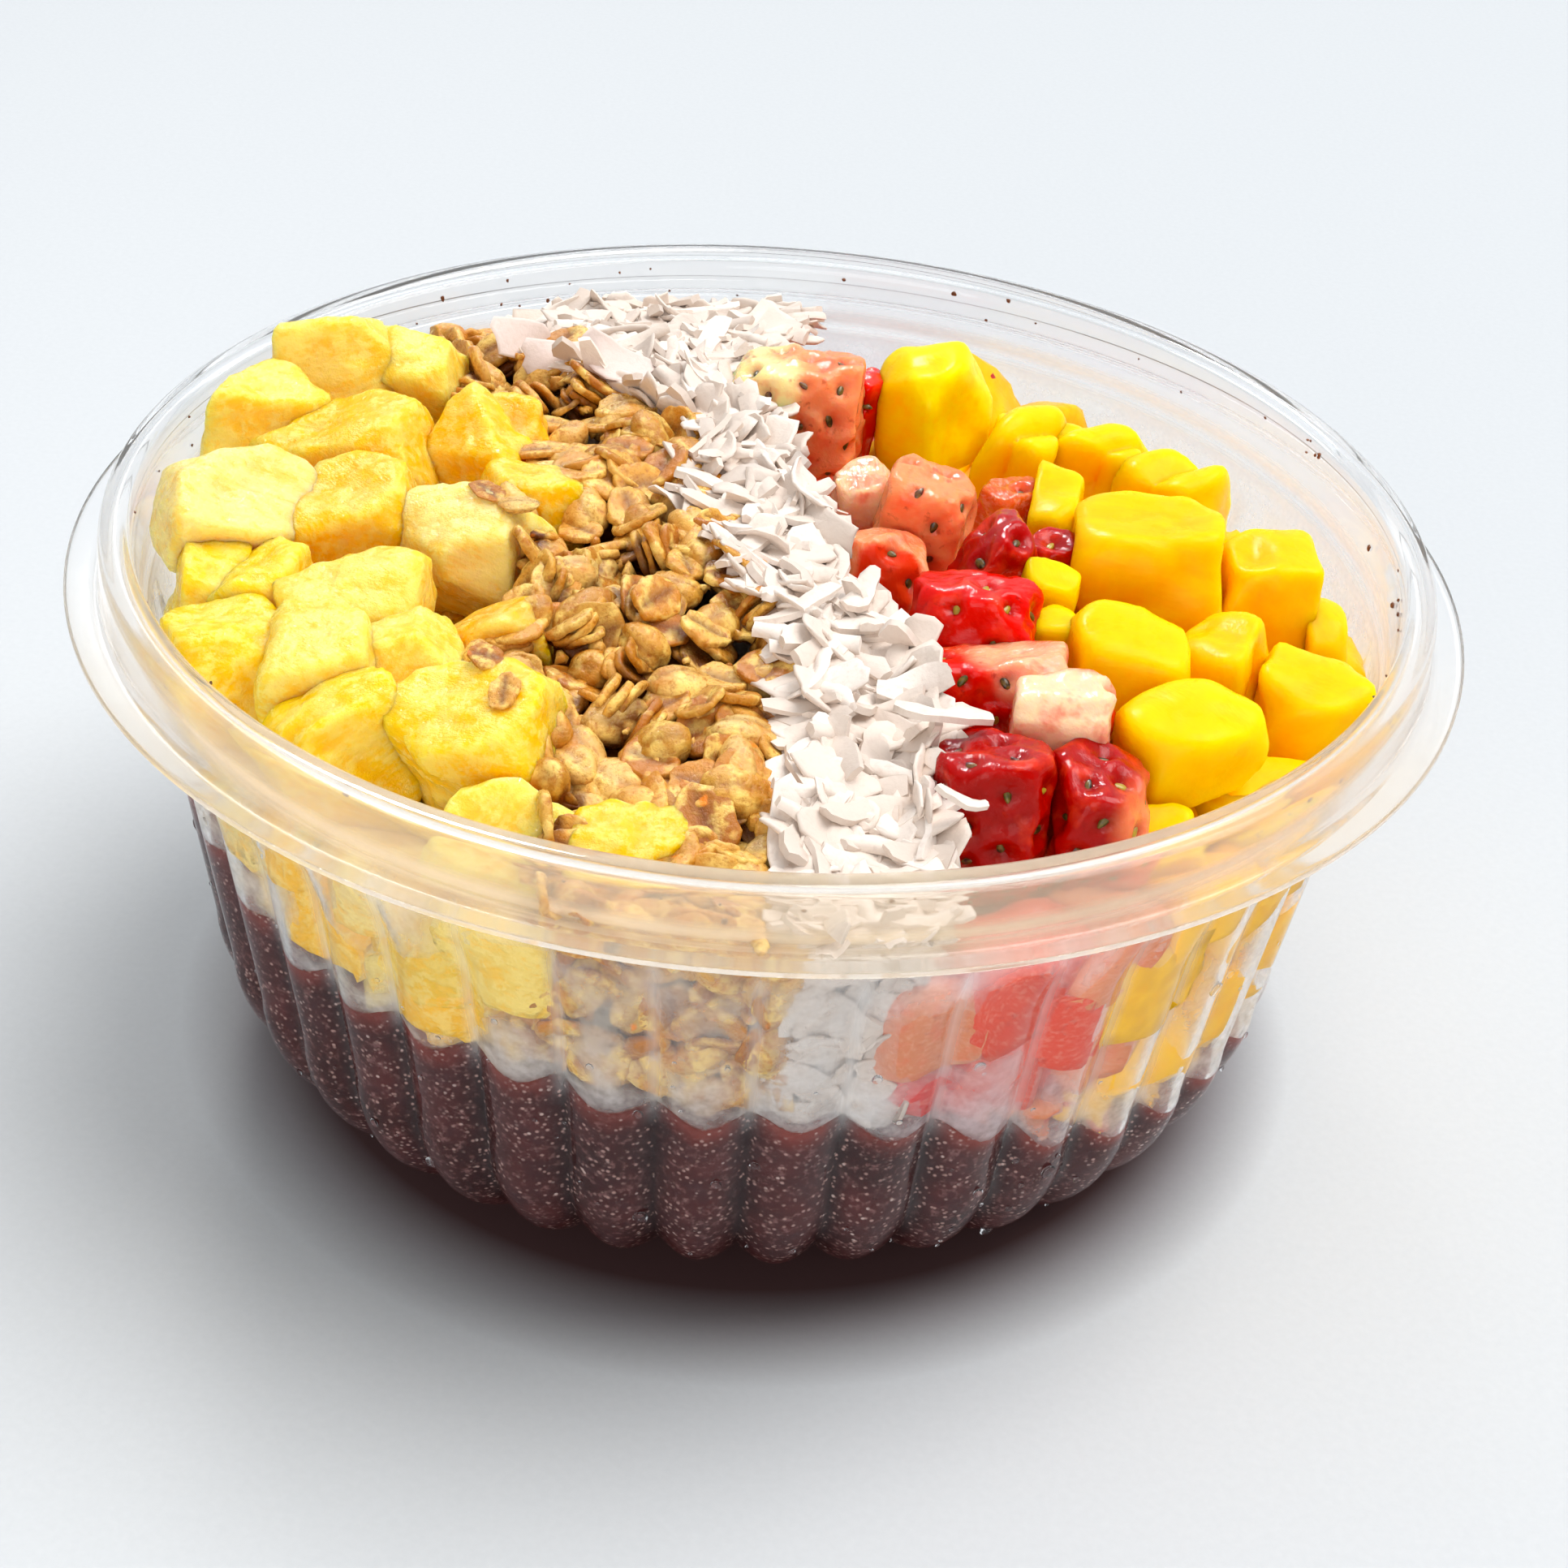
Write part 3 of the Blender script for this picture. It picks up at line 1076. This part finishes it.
def granola_pieces():
    rng = np.random.default_rng(900)
    flakes, puffs, crumbs_heap = Heap(), Heap(), Heap()
    oats, grains = (flakes, flake, OAT_TONES), (puffs, puff, PUFF_TONES)

    def put(heap, made, tones, spot, turn):
        shape, quads, mask = made
        points = lowered(inside_wall(spot + shape @ turn.T), GRANOLA_CEILING, 0.4)
        tone = tones[rng.integers(len(tones))] * rng.uniform(0.88, 1.06) * wall_shade(points)
        heap.add(points, quads, np.clip(tone, 0, 1), shape + anywhere(rng), mask)

    def put_one(kind, spot, normal, tilt, size=1.0):
        heap, maker, tones = kind
        put(heap, maker(rng), tones, spot, facing(normal, rng, tilt) * size)

    def stack(spot, normal):
        count = rng.integers(3, 7)
        lay = facing(normal, rng, 1.5)
        for k in range(count):
            shape, *rest = flake(rng)
            shift = [rng.uniform(-1.1, 1.1), rng.uniform(-0.9, 0.9), (k - count / 2) * rng.uniform(1.0, 1.35)]
            shape = (shape @ turned(rng, 0.14).T) * rng.uniform(0.8, 1.0) + shift
            put(flakes, (shape, *rest), OAT_TONES, spot, lay)

    def rosette(spot, normal):
        lay = facing(normal, rng, 0.3)
        for k in range(rng.integers(4, 7)):
            shape, *rest = flake(rng)
            angle = k * 1.25 + rng.uniform(-0.3, 0.3)
            axis = Vector(around(1, angle + math.pi / 2, 0))
            lean = np.array(Matrix.Rotation(rng.uniform(0.15, 0.6), 3, axis))
            shape = shape @ turned(rng, 0.1).T @ lean.T * rng.uniform(0.8, 1.0)
            shape = shape + around(3.0, angle, 0.35 * k - 0.6)
            put(flakes, (shape, *rest), OAT_TONES, spot, lay)

    def beans(spot, normal):
        lay = facing(normal, rng, 0.3)
        for _ in range(rng.integers(2, 5)):
            shape, *rest = puff(rng)
            shift = rng.uniform([-3.5, -3.5, -1], [3.5, 3.5, 1])
            put(puffs, (shape @ turned(rng, 1.0).T + shift, *rest), PUFF_TONES, spot, lay)

    for spot, normal in surface_spots("granola", 60, 7.6, rng, 1.8):
        (stack, rosette, stack, stack, beans)[rng.integers(5)](spot, normal)
    for spot, normal in surface_spots("granola", 60, 6.4, rng, 2.4):
        put_one(grains, spot, normal, 0.9)
    for spot, normal in surface_spots("granola", 70, 6.0, rng, 1.6):
        put(flakes, flake(rng), OAT_TONES, spot, facing(normal, rng, 0.9) * rng.uniform(0.75, 1.0))
    for spot, normal in surface_spots("granola", 200, 2.6, rng, 1.9):
        put(crumbs_heap, crumb_shape(rng, rng.uniform(0.5, 1.2)), OAT_TONES, spot, np.eye(3))
    for spot, normal in surface_spots("granola", 110, 4.0, rng, 0.4, inwards=True):
        put_one(oats, spot, normal, 0.5)
    for spot, normal in surface_spots("granola", 50, 5.4, rng, 1.4, inwards=True):
        put_one(grains, spot, normal, 0.9)
    for x, y, size, kind in STRAYS:
        spot, normal = settled(x, y)
        if spot[2] >= 0:
            put_one((oats, grains)[kind], spot + normal * (0.5 + kind), normal, 0.4, size)
    middle, up = CLUSTER
    for _ in range(3):
        put(puffs, puff(rng), PUFF_TONES[:1], middle + rng.uniform(-2.2, 2.2, 3) * [1, 1, 0.3],
            facing(up, rng, 0.6))
        put(flakes, flake(rng), OAT_TONES[:2], middle + rng.uniform(-2.5, 2.5, 3) * [1, 1, 0.4],
            facing(up, rng, 0.9) * 0.8)
    darken_low([flakes, puffs])
    for heap, name, replaces in ((flakes, "granola_flakes", ["granola"]), (puffs, "granola_puffs", ()),
                                 (crumbs_heap, "granola_crumbs", ())):
        heap.piece(name, MATERIALS["granola"], "granola", replaces)


# The way each side of a cell faces, and that side's corners.
CELL_SIDES = (((1, 0, 0), ((1, 0, 0), (1, 1, 0), (1, 1, 1), (1, 0, 1))),
              ((-1, 0, 0), ((0, 0, 0), (0, 0, 1), (0, 1, 1), (0, 1, 0))),
              ((0, 1, 0), ((0, 1, 0), (0, 1, 1), (1, 1, 1), (1, 1, 0))),
              ((0, -1, 0), ((0, 0, 0), (1, 0, 0), (1, 0, 1), (0, 0, 1))),
              ((0, 0, 1), ((0, 0, 1), (1, 0, 1), (1, 1, 1), (0, 1, 1))),
              ((0, 0, -1), ((0, 0, 0), (0, 1, 0), (1, 1, 0), (1, 0, 0))))


def core_piece(name, node, inset, material, cell):
    """What lies deep in a heap: the part of its solid well under the outside, as one uneven lump."""
    tree, (low, high) = tree_of(node), box_of(node)
    origin = low - 1.5 * cell
    filled = np.zeros(np.ceil((high - low) / cell).astype(int) + 4, bool)
    for index in np.ndindex(*filled.shape):
        spot = origin + (np.array(index) + 0.5) * cell
        near = tree.find_nearest(Vector(spot), 60.0)
        filled[index] = near[0] is not None and near[3] > inset and is_inside(tree, spot)
    corners, quads = {}, []
    for index in zip(*np.nonzero(filled)):
        for way, face in CELL_SIDES:
            if not filled[tuple(np.add(index, way))]:
                quads.append([corners.setdefault(tuple(np.add(index, c)), len(corners)) for c in face])
    quads = np.array(quads)
    points = origin + np.array(list(corners)) * cell
    ends = np.concatenate([quads[:, [k, (k + 1) % 4]] for k in range(4)])
    for _ in range(6):
        total, share = np.zeros_like(points), np.zeros(len(points))
        for a, b in (ends.T, ends.T[::-1]):
            np.add.at(total, a, points[b])
            np.add.at(share, a, 1)
        points = 0.4 * points + 0.6 * total / share[:, None]
    points += 0.5 * layered(points / 3.0, 81, 2)[:, None]
    return finish_piece(mesh_piece(name, points, quads, [material]), ())


# ---- coconut ----

def shred(rng, wide, thick, long, bend, twist):
    """A curved, twisted ribbon with torn edges and a ragged end."""
    steps = 6
    t = np.linspace(-0.5, 0.5, steps + 1)
    heading = bend * t + rng.uniform(-0.5, 0.5) * np.sin(6 * t)
    x = np.cumsum(np.cos(heading)) * long / steps
    y = np.cumsum(np.sin(heading)) * long / steps
    x, y = x - x.mean(), y - y.mean()
    z = rng.uniform(-0.7, 0.7) * t * t * long / 2
    taper = 1 - np.abs(2 * t) ** rng.uniform(6, 12) * rng.uniform(0.1, 0.4)
    left, right = (taper * (1 + 0.2 * np.sin(t * rng.uniform(4, 12) + rng.uniform(0, 6))
                            + rng.uniform(-0.12, 0.12, steps + 1)) for _ in range(2))
    roll = twist * t + rng.uniform(-0.5, 0.5)
    up = np.array([0, 0, 1.0])
    rings = []
    for k in range(steps + 1):
        side = np.array([-math.sin(heading[k]), math.cos(heading[k]), 0])
        a = (side * math.cos(roll[k]) + up * math.sin(roll[k])) * wide / 2
        b = (-side * math.sin(roll[k]) + up * math.cos(roll[k])) * thick / 2
        ring = [-a * left[k] - b * 0.6, a * right[k] - b, a * right[k] + b * 0.6, b * 1.3, -a * left[k] + b]
        rings.append(np.array([x[k], y[k], z[k]]) + np.array(ring))
    points = np.concatenate(rings)
    i = np.arange(5)
    j = (i + 1) % 5
    quads = [np.stack([5 * k + i, 5 * k + j, 5 * k + 5 + j, 5 * k + 5 + i], 1) for k in range(steps)]
    e = 5 * steps
    ends = np.array([[3, 2, 1, 0], [4, 3, 0, 0], [e, e + 1, e + 2, e + 3], [e, e + 3, e + 4, e + 4]])
    return points, np.concatenate([*quads, ends])


def torn_flake(rng, long, wide, thick):
    """A thin torn flake with an uneven outline, curled and wavy."""
    directions, quads = ball(4)
    x, y, z = directions.T
    angle, flat = np.arctan2(y, x), np.hypot(x, y)
    rim = 1 + sum(rng.uniform(0.03, 0.1) * np.sin(k * angle + rng.uniform(0, 6)) for k in (2, 3, 5))
    rim = rim * (np.cos(angle) ** 6 + np.sin(angle) ** 6) ** (-1 / 6)
    spread = rim * flat ** 0.5 / np.maximum(flat, 1e-6)
    px, py = long / 2 * x * spread, wide / 2 * y * spread
    pz = thick / 2 * np.sign(z) * np.abs(z) ** 0.4
    bent = rng.uniform(-0.07, 0.07) * px ** 2 + rng.uniform(-0.12, 0.12) * py ** 2
    pz += bent + rng.uniform(-0.1, 0.1) * px * py
    pz += 0.35 * noise(np.c_[px, py, pz * 0] / 2.4 + rng.uniform(0, 50), 91)
    return np.c_[px, py, pz], quads


COCONUT_TONES = linears((230, 216, 204), (224, 209, 197), (235, 223, 213), (218, 203, 191))
PALE_TONES = linears((226, 208, 200), (234, 220, 212))
# Shreds that stand out: the middle, the size, the bend and the turn of each.
LONE_SHREDS = [((19.7, -47.3, 75.6), (2.6, 1.0, 11.5), 0.4, (0.0, 0.12, 0.03)),
               ((21.4, -60.9, 73.4), (1.5, 0.8, 5.5), 1.4, (0.1, 0.3, -0.2)),
               ((10.6, -24.0, 76.2), (2.4, 1.2, 7.0), 0.2, (0.2, -0.3, 1.0))]
# Large thin flakes that stand out: the middle, the size and the turn of each.
LONE_FLAKES = [((-35.5, 46.5, 71.5), (7.5, 6.0), (0.9, 0.2, 0.3)),
               ((-29.0, 41.5, 72.0), (11.0, 5.0), (0.7, 0.1, 0.2)),
               ((-22.0, 36.0, 74.0), (10.0, 5.5), (0.5, 0.2, -0.3))]


def coconut_pieces():
    rng = np.random.default_rng(1200)
    flakes, shreds = Heap(), Heap()

    def put(heap, make, count, gap, sink, tilt, inwards=False):
        for spot, normal in surface_spots("coconut", count, gap, rng, sink, inwards):
            points, quads = make()
            laid = lowered(inside_wall(spot + points @ facing(normal, rng, tilt).T), COCONUT_CEILING, 0.35)
            tone = COCONUT_TONES[rng.integers(len(COCONUT_TONES))] * wall_shade(laid)
            heap.add(laid, quads, tone, points + anywhere(rng))

    def uneven_flake():
        size = rng.uniform(0.8, 1.5)
        return torn_flake(rng, 8.0 * size, 4.0 * size * rng.uniform(0.7, 1.3), 0.8)

    def uneven_shred(wide=(1.5, 3.0), thick=(0.7, 1.2), long=(6, 12), bend=(-1.8, 1.8), twist=0.8):
        return shred(rng, *(rng.uniform(*span) for span in (wide, thick, long, bend)), twist)

    def wall_shred():
        return uneven_shred((1.3, 2.8), (0.6, 1.0), (5.5, 11), (-2, 2), 0.9)

    for sink, tilt, count, gap in ((1.6, 0.25, 220, 3.2), (0.8, 0.35, 130, 4.0), (0.0, 0.5, 70, 5.6)):
        put(flakes, uneven_flake, count, gap, sink, tilt)
    for sink, tilt, count, gap in ((0.8, 0.3, 230, 3.0), (0.2, 0.4, 220, 3.2), (-0.5, 0.5, 110, 4.4)):
        put(shreds, uneven_shred, count, gap, sink, tilt)
    for middle, size, bend, turn in LONE_SHREDS:
        made, quads = shred(rng, *size, bend, 0.2)
        shreds.add(middle + made @ np.array(Euler(turn).to_matrix()).T, quads, COCONUT_TONES[0], made)
    for middle, size, turn in LONE_FLAKES:
        made, quads = torn_flake(rng, *size, 0.4)
        flakes.add(inside_wall(middle + made @ np.array(Euler(turn).to_matrix()).T), quads,
                   PALE_TONES[rng.integers(2)], made)
    for sink, count in ((1.0, 150), (0.2, 90)):
        put(flakes, lambda: torn_flake(rng, 7.5, 4.0, 0.6), count, 3.0, sink, 0.3, inwards=True)
    put(shreds, wall_shred, 130, 3.0, 0.2, 0.3, inwards=True)
    flakes.piece("coconut_flakes", MATERIALS["coconut"], "coconut", ["coconut"], sharp=70)
    shreds.piece("coconut_shreds", MATERIALS["coconut"], "coconut", sharp=70)


# ---- droplets and crumbs ----

def droplets():
    rng = np.random.default_rng(1500)
    directions, quads = ball(3)
    profile = wall_profile()
    heap = Heap()
    for _ in range(240):
        angle, z = rng.uniform(0, 2 * math.pi), rng.uniform(6, 46)
        size = 0.25 + 0.75 * rng.uniform() ** 3
        ring = wall_rings(-0.05, profile, np.array([angle]))[:, 0]
        at = np.array([np.interp(z, ring[:, 2], ring[:, k]) for k in range(3)])
        shape = directions * [size, size * rng.uniform(0.8, 1.3), size * 0.5]
        heap.add(at + shape @ laid_on(unit(around(1, angle, -0.3))).T, quads, (1, 1, 1), shape)
    heap.piece("droplets", MATERIALS["water"], "clear_plastic")


# Dark specks inside the rim: each cluster's angle in degrees, height, size and number; and a hair.
SPECKS = [(138.2, 68.5, 0.28, 8), (23.0, 72.0, 0.22, 7), (-24.0, 70.2, 0.3, 4)]
HAIR = (math.radians(44.7), 58.0)
CRUMB_TONE = (0.2, 0.1, 0.05)


def rim_radius(z):
    """Just inside the plastic of the rim at a height."""
    return 75.1 + 0.6 * (z - 65) / 9


def crumbs():
    rng = np.random.default_rng(1700)
    directions, quads = ball(3)
    heap = Heap()
    for _ in range(70):
        angle, z = rng.uniform(0, 2 * math.pi), rng.uniform(66.5, 73)
        size = 0.12 + 0.3 * rng.uniform() ** 3
        shape = directions * [size, size * rng.uniform(0.6, 1.6), size * 0.6]
        shape += 0.05 * rng.normal(size=directions.shape)
        at = around(rim_radius(z), angle, z)
        heap.add(at + shape @ laid_on(around(-1, angle, 0)).T, quads, CRUMB_TONE, shape)
    for turn, z, size, count in SPECKS:
        for _ in range(count):
            angle = math.radians(turn + rng.uniform(-1.4, 1.4))
            level = z + rng.uniform(-1.2, 1.2)
            shape = directions * size * rng.uniform(0.5, 1.3, 3)
            heap.add(around(rim_radius(level), angle, level) + shape, quads, CRUMB_TONE, shape)
    hair, hair_quads = shred(rng, 0.16, 0.16, 2.6, 2.8, 0.0)
    angle, z = HAIR
    at = around(inner_radius(*around(1, angle, z)) - 0.1, angle, z)
    heap.add(at + hair @ laid_on(around(-1, angle, 0)).T, hair_quads, CRUMB_TONE, hair)
    heap.piece("crumbs", MATERIALS["crumb"], "granola")


def water_material():
    s = Shader("water_drop")
    clear = s.principled(Base_Color=(0.98, 0.99, 1.0), Roughness=0.02, IOR=1.33, Transmission_Weight=1.0,
                         Normal=s.bump(s.noise(500, 2), 0.1, 0.1))
    open_way = s.node("ShaderNodeBsdfTransparent").outputs[0]
    shadow = s.node("ShaderNodeLightPath").outputs["Is Shadow Ray"]
    return s.finish(s.blend(shadow, clear, open_way))


# ---- floor, lights and camera ----

# Half the floor's side in millimetres, and the point in metres at which the lamps are turned.
FLOOR_REACH = 15000.0
AIMED_AT = Vector((0, 0, 0.04))


def stage():
    """The floor, which fades into the backdrop, and a soft room that is brighter above and behind."""
    floor = mesh_piece("table", FLOOR_REACH * np.array([[-1, -1, 0], [1, -1, 0], [1, 1, 0], [-1, 1, 0]]),
                       [[0, 1, 2, 3]], [floor_material()])
    s = Shader("soft_room", bpy.data.worlds)
    way = s.node("ShaderNodeSeparateXYZ", {0: s.node("ShaderNodeTexCoord").outputs["Generated"]}).outputs
    back = s.node("ShaderNodeMath", {0: way["Y"], 1: 0.7, 2: way["Z"]}, operation="MULTIPLY_ADD").outputs[0]
    path = s.node("ShaderNodeLightPath").outputs
    shown = s.times(s.math("MAXIMUM", path["Is Camera Ray"], path["Is Transmission Ray"]), BACKDROP_GLOW)
    sockets = {"Color": SKY_COLOUR, "Strength": s.math("MAXIMUM", shown, s.ramp(back, *ROOM_GLOW))}
    s.node("ShaderNodeOutputWorld", {"Surface": s.node("ShaderNodeBackground", sockets).outputs[0]})
    bpy.context.scene.world = s.made
    lamp("key", (1.25, 0.42, 2.82), 2.4, 102.0, (1.0, 0.99, 0.975))
    lamp("fill", (-0.25, -1.15, 0.46), 1.1, 9.0, (1.0, 0.985, 0.96))
    lamp("glint", (-0.35, 1.1, 1.3), 0.35, 26.0, (1.0, 1.0, 1.0)).visible_diffuse = False


def lamp(name, place, size, power, colour):
    """A round lamp at a place in metres, turned towards the bowl."""
    data = bpy.data.lights.new(name, "AREA")
    data.shape, data.size, data.energy, data.color = "DISK", size, power, colour
    ob = placed(name, data)
    ob.location = place
    ob.rotation_euler = (AIMED_AT - Vector(place)).to_track_quat("-Z", "Y").to_euler()
    return ob


# The photo's frame and the camera fitted to it: lengths in its pixels, angles in radians, distances in mm.
FRAME_SIDE = 1932
FOCAL_PIXELS, DISTANCE, ELEVATION, ROLL = 3500.0, 4.105 * 84, 0.4861, 0.0721
AIM_OFFSET = (-11.9, -346.0)
AIM_HEIGHT = 74.0
SENSOR = 36.0


def camera():
    """A camera that sees the middle of the bowl's mouth a little above the middle of the frame."""
    back = Vector((0, -math.cos(ELEVATION), math.sin(ELEVATION)))
    right, up = Vector((1, 0, 0)), Vector((0, math.sin(ELEVATION), math.cos(ELEVATION)))
    across = right * math.cos(ROLL) + up * math.sin(ROLL)
    upward = up * math.cos(ROLL) - right * math.sin(ROLL)
    aimed = Vector((AIM_OFFSET[0], -AIM_OFFSET[1], FOCAL_PIXELS)).normalized()
    turn = Vector((0, 0, 1)).rotation_difference(aimed).to_matrix()
    rows = [across * turn[i][0] + upward * turn[i][1] - back * turn[i][2] for i in range(3)]
    data = bpy.data.cameras.new("camera")
    data.sensor_width = SENSOR
    data.lens = FOCAL_PIXELS / FRAME_SIDE * SENSOR
    data.clip_start, data.clip_end = 0.01, 60
    ob = placed("camera", data)
    ob.matrix_world = Matrix.Translation((back * DISTANCE + Vector((0, 0, AIM_HEIGHT))) * MM) @ Matrix(
        (rows[0], rows[1], -rows[2])).transposed().to_4x4()
    bpy.context.scene.camera = ob


# Enough for clear plastic over food, and quicker than Blender's own number.
LIGHT_BOUNCES = 7
MATERIALS = {
    "plastic": [plastic("plastic_outside", 0.02, 0.1), plastic("plastic_inside", 0.02, 0.16)],
    "acai": acai_material(), "granola": granola_material(), "coconut": coconut_material(),
    "seed": seed_material(), "crumb": crumb_material(), "water": water_material(),
}
for fruit, make_material in (("pineapple", pineapple_material), ("mango", mango_material),
                             ("strawberry", strawberry_material)):
    MATERIALS[fruit] = make_material(f"{fruit}_flesh", 1.0)
    MATERIALS[f"{fruit}_bed"] = make_material(f"{fruit}_pressed", 0.0)

camera()
stage()
acai_piece()
pineapple_and_mango()
strawberry_chunks()
bed_pieces()
granola_pieces()
coconut_pieces()
for kind, node, inset, cell, dark, light in (
        ("granola", "granola", 4.4, 2.8, (66, 26, 2), (140, 74, 14)),
        ("coconut", "coconut", 1.9, 2.8, (232, 212, 198), (242, 226, 214)),
        ("pineapple", "pineapple_bed", 0.9, 2.1, (250, 180, 30), (255, 206, 80)),
        ("strawberry", "strawberry_bed", 0.9, 2.1, (190, 40, 24), (236, 100, 70)),
        ("mango", "mango_bed", 0.9, 2.1, (255, 190, 20), (255, 214, 60))):
    depths = core_material(f"{kind}_depths", *linears(dark, light))
    core_piece(f"{kind}_core", node, inset, depths, cell)
bowl_piece()
droplets()
crumbs()

bpy.context.scene.view_settings.view_transform = "Standard"
bpy.context.scene.cycles.max_bounces = LIGHT_BOUNCES
bpy.context.scene.cycles.transmission_bounces = LIGHT_BOUNCES
bpy.context.view_layer.update()
